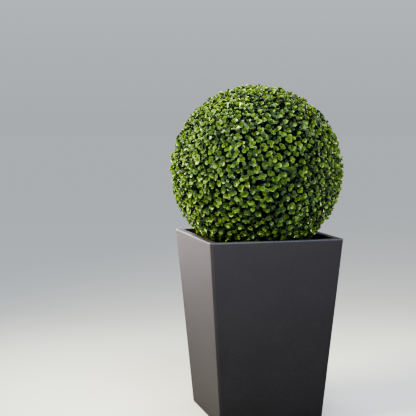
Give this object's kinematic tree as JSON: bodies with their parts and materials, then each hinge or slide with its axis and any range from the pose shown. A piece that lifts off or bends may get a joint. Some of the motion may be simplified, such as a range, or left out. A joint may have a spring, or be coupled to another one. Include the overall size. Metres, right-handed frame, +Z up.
{
  "type": "clipped box ball in tapered square planter",
  "caption": "Evergreen box shrub clipped to a ball, on a short hidden stem, planted in a tapered square planter with a thick plain rim.",
  "frame": {"origin": "centre of the planter's flat underside, on the ground", "axes": "+Z up; the planter's four sides face X and Y, with the shaded front of the reference view at -Y and its lit side at -X"},
  "size_m": [0.5716, 0.5743, 1.1077],
  "materials": {
    "planter": "matt, fine grain",
    "compost": "crumbly, shredded bark",
    "bark": "rough",
    "leaf": "glossy leaves"
  },
  "bodies": {
    "root": {"planter": "planter", "compost": "compost", "stem": "bark", "clipped_ball": "leaf"}
  },
  "joints": []
}
